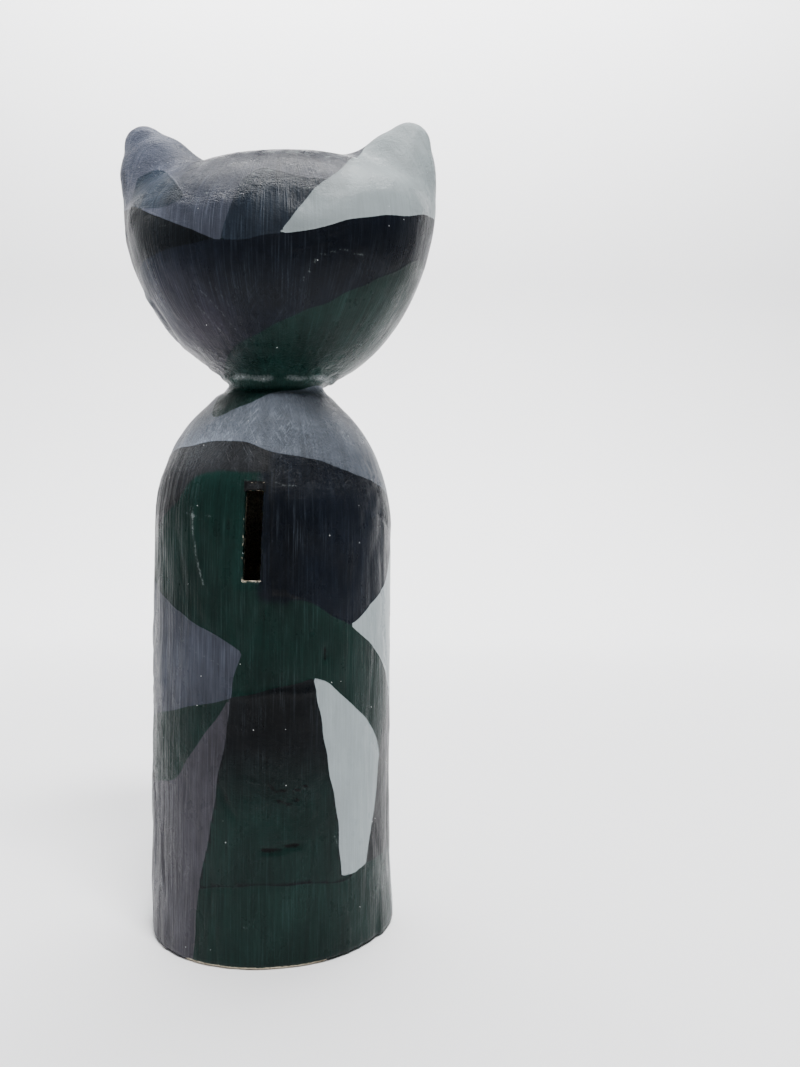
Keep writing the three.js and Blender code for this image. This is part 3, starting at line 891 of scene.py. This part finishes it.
strokes, given, result = groupTree(
    "brushStrokes", "ShaderNodeTree",
    [("Vector", "NodeSocketVector", None), *numbers({**brush, "Cross": 0.0, "Dry And Glint": 0.0})],
    [("Height", "NodeSocketFloat"), ("Shade", "NodeSocketFloat"), ("Hair Glints", "NodeSocketFloat")])
upright = noise(strokes, stretched(strokes, given["Vector"], given["Width"], given["Length"]), 1.5, 0.6)
slants = []
for angle in (0.75, -0.6):
    turned = put(strokes, "ShaderNodeVectorRotate", {"rotation_type": "Y_AXIS"},
                 {"Vector": given["Vector"], "Angle": angle}).outputs[0]
    slants.append(noise(strokes, stretched(strokes, turned, given["Width"], given["Length"]), 1.5, 0.6))
crossed = calc(strokes, "MAXIMUM", *slants)
blend = put(strokes, "ShaderNodeMix", {"data_type": "FLOAT"},
            {0: given["Cross"], 2: upright, 3: crossed}).outputs[0]
strokes.links.new(blend, result["Height"])
wide = noise(strokes, stretched(strokes, given["Vector"], 3.0, 26.0), 3.0, 0.6)
strokes.links.new(plus(strokes, times(strokes, blend, 0.5), times(strokes, wide, 0.5)), result["Shade"])
# the brush left hairs of lighter paint, in some places and not in others; they also serve as painted glints
# along the brush ridges
patch = noise(strokes, stretched(strokes, given["Vector"], 7.0, 15.0), 3.0, 0.6)
dryGlintAmount = calc(strokes, "MULTIPLY_ADD", given["Dry And Glint"], 0.95, 0.22)
present = times(strokes, smooth(strokes, patch, 0.36, 0.62, 0.1, 1.0), dryGlintAmount)
hairGlint = smooth(strokes, blend, 0.5, 0.7)
strokes.links.new(times(strokes, hairGlint, present), result["Hair Glints"])

tissue, given, result = groupTree(
    "tissueCreases", "ShaderNodeTree",
    [("Vector", "NodeSocketVector", None), *numbers({"Size": 3.4, "Amount": 1.0})],
    [("Height", "NodeSocketFloat")])
flat = times(tissue, given["Size"], 0.6)
folds = []
for size, detail in ((1.0, 4.0), (0.42, 3.0)):
    across = times(tissue, given["Size"], size)
    up = times(tissue, flat, size)
    lump = noise(tissue, stretched(tissue, given["Vector"], across, up), detail, 0.6, 0.7)
    fold = smooth(tissue, calc(tissue, "ABSOLUTE", minus(tissue, lump, 0.5)), 0.0, 0.12, 1.0, 0.0)
    folds.append(times(tissue, fold, size))
tissue.links.new(times(tissue, plus(tissue, *folds), given["Amount"]), result["Height"])

dust, given, result = groupTree(
    "dustSpecks", "ShaderNodeTree",
    [("Vector", "NodeSocketVector", None), *numbers(specks)],
    [("Mask", "NodeSocketFloat")])
cellPlace = stretched(dust, given["Vector"], given["Spacing"], given["Spacing"])
cell = put(dust, "ShaderNodeTexVoronoi", None, {"Vector": cellPlace, "Scale": 1.0})
chosen = put(dust, "ShaderNodeSeparateColor", None, {0: cell.outputs["Color"]}).outputs[0]
keep = calc(dust, "LESS_THAN", chosen, given["Amount"])
spot = calc(dust, "LESS_THAN", cell.outputs["Distance"], given["Size"])
dust.links.new(times(dust, keep, spot), result["Mask"])

varnished = bpy.data.materials.new("varnished_paint")
varnished.use_nodes = True
tree = varnished.node_tree
tree.nodes.clear()


def attribute(name):
    return put(tree, "ShaderNodeAttribute", {"attribute_name": name}).outputs["Fac"]


place = scaled(tree, put(tree, "ShaderNodeTexCoord").outputs["Object"], 1 / mm)
waver = times(tree, noise(tree, stretched(tree, place, 1.4, 1.4), 3.0, 0.6), 0.28)
colour, edge = paint["pine"], 0.0
for name in paintNames:
    laid = useGroup(tree, layer, {"Under": colour, "Paint": paint[name], "Depth": attribute(name),
                                  "Waver": waver, "Edge Before": edge})
    colour, edge = laid["Color"], laid["Edge"]
colour = mixColour(tree, attribute("violet"), colour, paint["violet"])
colour = mixColour(tree, attribute("glaze"), colour, paint["pine"])
# the brush went up and down, so its strokes follow the tube and the bowl of the head
level = scaled(tree, vec(tree, "NORMALIZE", vec(tree, "MULTIPLY", place, (1.0, 1.0, 0.0))), body["radius"])
upDown = vec(tree, "ADD", level, vec(tree, "MULTIPLY", place, (0.0, 0.0, 1.0)))
stroke = useGroup(tree, strokes, {"Vector": upDown, "Cross": attribute("cross"), "Dry And Glint": attribute("dryAndGlint")})
rough = smooth(tree, attribute("mist"), -0.1, 0.1, 1.0, 0.25)  # the pale paint went on thick and smooth
toneAndPaintedLight = smooth(tree, stroke["Shade"], 0.3, 0.7, 0.7, 1.32)
patchy = smooth(tree, noise(tree, stretched(tree, place, 16.0, 22.0), 4.0, 0.6), 0.3, 0.7, 0.78, 1.24)
uneven = minus(tree, times(tree, toneAndPaintedLight, patchy), 1.0)
uneven = plus(tree, times(tree, uneven, rough), 1.0)
# brush tone times each point's tone, with the painted light and shade laid on it
toneAndPaintedLight = times(tree, uneven, attribute("toneAndPaintedLight"))
colour = scaled(tree, colour, toneAndPaintedLight)
# the hairs lighten the paint: dry-brush paint and painted glints of the varnish
hairGlints = vec(tree, "ADD", hairGlintPaint, scaled(tree, colour, 0.6))
colour = vec(tree, "ADD", colour, scaled(tree, hairGlints, times(tree, stroke["Hair Glints"], rough)))
broken = smooth(tree, noise(tree, stretched(tree, place, 0.7, 0.7), 3.0, 0.6), 0.3, 0.7, 0.55, 1.25)
scuffAndGlint = times(tree, attribute("scuffAndGlint"), broken)
# scuffs and painted highlights in grey, painted glints in near white, cracks in near black
colour = mixColour(tree, smooth(tree, scuffAndGlint, 0.3, 0.9, 0.0, 0.5), colour, paint["scuffAndHighlight"])
colour = mixColour(tree, smooth(tree, scuffAndGlint, 1.0, 1.8, 0.0, 0.7), colour, paint["paintedGlint"])
colour = mixColour(tree, smooth(tree, times(tree, scuffAndGlint, -1.0), 0.25, 0.6), colour, paint["crack"])
fibre = noise(tree, stretched(tree, place, 0.6, 0.6), 4.0, 0.7)
paperColour = mixColour(tree, smooth(tree, fibre, 0.35, 0.65), paint["paper"], paint["palePaper"])
rawness = plus(tree, attribute("raw"), times(tree, minus(tree, fibre, 0.5), 1.2))
rawMask = times(tree, smooth(tree, rawness, 0.35, 0.6), calc(tree, "GREATER_THAN", attribute("raw"), 0.02))
colour = mixColour(tree, rawMask, colour, paperColour)
colour = mixColour(tree, useGroup(tree, dust, {"Vector": place})["Mask"], colour, paint["dust"])

creased = useGroup(tree, tissue, {"Vector": place, "Amount": attribute("crumple")})["Height"]
grain = times(tree, noise(tree, stretched(tree, place, 2.6, 4.0), 5.0, 0.6), 0.2)
relief = plus(tree, times(tree, creased, 0.3), grain)
brushed = times(tree, calc(tree, "MULTIPLY_ADD", attribute("cross"), 0.24, 0.13), rough)
relief = plus(tree, relief, times(tree, stroke["Height"], brushed))
ribs = noise(tree, stretched(tree, upDown, 1.1, 26.0), 3.0, 0.6, 0.15)
relief = plus(tree, relief, times(tree, ribs, times(tree, attribute("wrinkle"), 0.9)))
relief = plus(tree, relief, times(tree, edge, 0.05))
bump = put(tree, "ShaderNodeBump", None, {"Strength": 1.0, "Distance": mm, "Height": relief}).outputs[0]
dull = noise(tree, stretched(tree, place, 9.0, 13.0), 4.0, 0.6)
dull = smooth(tree, dull, 0.3, 0.7, varnish["bright"], varnish["dull"])
dull = calc(tree, "ADD", dull, times(tree, rawMask, 0.45), clamp=True)
surface = put(tree, "ShaderNodeBsdfPrincipled", None, {
    "Base Color": colour, "Roughness": dull, "IOR": varnish["ior"], "Normal": bump})
put(tree, "ShaderNodeOutputMaterial", None, {"Surface": surface.outputs[0]})

modifier = shell.modifiers.new("pastedPaper", "NODES")
modifier.node_group = paste
for item in paste.interface.items_tree:
    if item.in_out == "INPUT" and item.name in paperRelief:
        modifier[item.identifier] = paperRelief[item.name]
    if item.in_out == "INPUT" and item.name == "Material":
        modifier[item.identifier] = varnished
shell.update_tag()
bpy.context.view_layer.update()
made = bpy.data.meshes.new_from_object(shell.evaluated_get(bpy.context.evaluated_depsgraph_get()))
shell.modifiers.clear()
shell.data = made
made.name = "cat_shell_painted"
print("relief done", len(made.vertices))

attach(shell, "root")
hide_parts("cat_shell")

# A pale sweep with painted light and shade, and three soft lights
sweep = {"near": 3.0, "start": -0.9, "radius": 0.7, "high": 1.75, "half": 3.0, "bendSteps": 24}
profile = [(sweep["near"], 0)]
profile += [(sweep["start"] - sweep["radius"] * math.sin(t), sweep["radius"] * (1 - math.cos(t)))
            for t in np.linspace(0, quarter, sweep["bendSteps"])]
profile += [(sweep["start"] - sweep["radius"], sweep["high"])]
sweepMesh = bpy.data.meshes.new("sweep")
sweepMesh.from_pydata([(side * sweep["half"], yy, zz) for yy, zz in profile for side in (-1, 1)], [],
                      [(2 * i, 2 * i + 1, 2 * i + 3, 2 * i + 2) for i in range(len(profile) - 1)])
sweepMesh.polygons.foreach_set("use_smooth", [True] * len(sweepMesh.polygons))
floor = bpy.data.objects.new("sweep", sweepMesh)
bpy.context.scene.collection.objects.link(floor)
pale = bpy.data.materials.new("pale_card")
pale.use_nodes = True
tree = pale.node_tree
place = put(tree, "ShaderNodeTexCoord").outputs["Object"]
cloud = noise(tree, scaled(tree, place, 3.0), 4.0, 0.5)
card = tree.nodes["Principled BSDF"]
spread = put(tree, "ShaderNodeSeparateXYZ", None, {0: place}).outputs
# painted shade and light on the sweep: darker far off to either side and towards the camera, lighter up the
# wall and darker again high on it
paintedShadeLeft = smooth(tree, spread["X"], -2.2, -0.9, 0.35, 1.0)
paintedShadeX = times(tree, paintedShadeLeft, smooth(tree, spread["X"], 1.8, 2.8, 1.0, 0.5))
paintedLightY = smooth(tree, spread["Y"], 0.12, 0.8, 1.0, 0.6)
paintedLightWall = smooth(tree, spread["Z"], 0.3, 1.25, 0.85, 1.1)
paintedShadeHigh = smooth(tree, spread["Z"], 1.38, 1.7, 1.1, 0.25)
paintedLightY = times(tree, paintedLightY, times(tree, paintedLightWall, paintedShadeHigh))
tint = mixColour(tree, cloud, (0.9, 0.9, 0.91, 1), (0.93, 0.93, 0.94, 1))
tree.links.new(scaled(tree, tint, times(tree, paintedShadeX, paintedLightY)), card.inputs["Base Color"])
card.inputs["Roughness"].default_value = 0.75
card.inputs["Specular IOR Level"].default_value = 0.2
floor.data.materials.append(pale)

world = bpy.data.worlds.new("studio")
bpy.context.scene.world = world
world.use_nodes = True
tree = world.node_tree
direction = put(tree, "ShaderNodeTexCoord").outputs["Generated"]
apart = put(tree, "ShaderNodeSeparateXYZ", None, {0: direction}).outputs
behind = smooth(tree, apart["Y"], -0.9, -0.1, 2.8, 0.4)
side = smooth(tree, apart["X"], -1.0, 1.0, 0.6, 1.3)
high = smooth(tree, apart["Z"], 0.4, 0.65, 1.0, 0.1)  # the crown mirrors a dark ceiling
above = smooth(tree, apart["Z"], 0.88, 0.99)
level = times(tree, times(tree, behind, side), high)
level = plus(tree, level, times(tree, above, 5.4))
backdrop = tree.nodes["Background"]
backdrop.inputs["Color"].default_value = (0.97, 0.98, 1.0, 1)
tree.links.new(level, backdrop.inputs["Strength"])


def softbox(name, spot, aim, width, depth, power, beam):
    data = bpy.data.lights.new(name, "AREA")
    data.shape, data.size, data.size_y, data.energy = "RECTANGLE", width, depth, power
    data.spread = math.radians(beam)
    lamp = bpy.data.objects.new(name, data)
    lamp.location = spot
    towards = Vector(aim) - Vector(spot)
    lamp.rotation_euler = towards.to_track_quat("-Z", "Y").to_euler()
    bpy.context.scene.collection.objects.link(lamp)


# the backdrop's lamp has a beam too narrow to reach the shiny crown
softbox("overhead", spot=(-0.22, 0.44, 1.1), aim=(0, 0, 0.18), width=0.28, depth=0.22, power=19.5, beam=180)
softbox("left", spot=(1.3, -0.5, 1.25), aim=(0, 0, 0.15), width=0.6, depth=0.6, power=5.0, beam=180)
softbox("backdrop", spot=(0, -1.0, 2.5), aim=(0, -1.6, 1.3), width=2.6, depth=0.5, power=112.0, beam=124)

view = {"lens": 29.8, "sensor": 36, "place": (-0.0484, 0.3465, 0.1502), "down": 0.002, "roll": -0.0065}
eye = bpy.data.cameras.new("camera")
eye.lens, eye.sensor_width, eye.sensor_fit = view["lens"], view["sensor"], "AUTO"
camera = bpy.data.objects.new("camera", eye)
camera.location = view["place"]
camera.rotation_euler = (quarter - view["down"], view["roll"], math.pi)
bpy.context.scene.collection.objects.link(camera)
bpy.context.scene.camera = camera
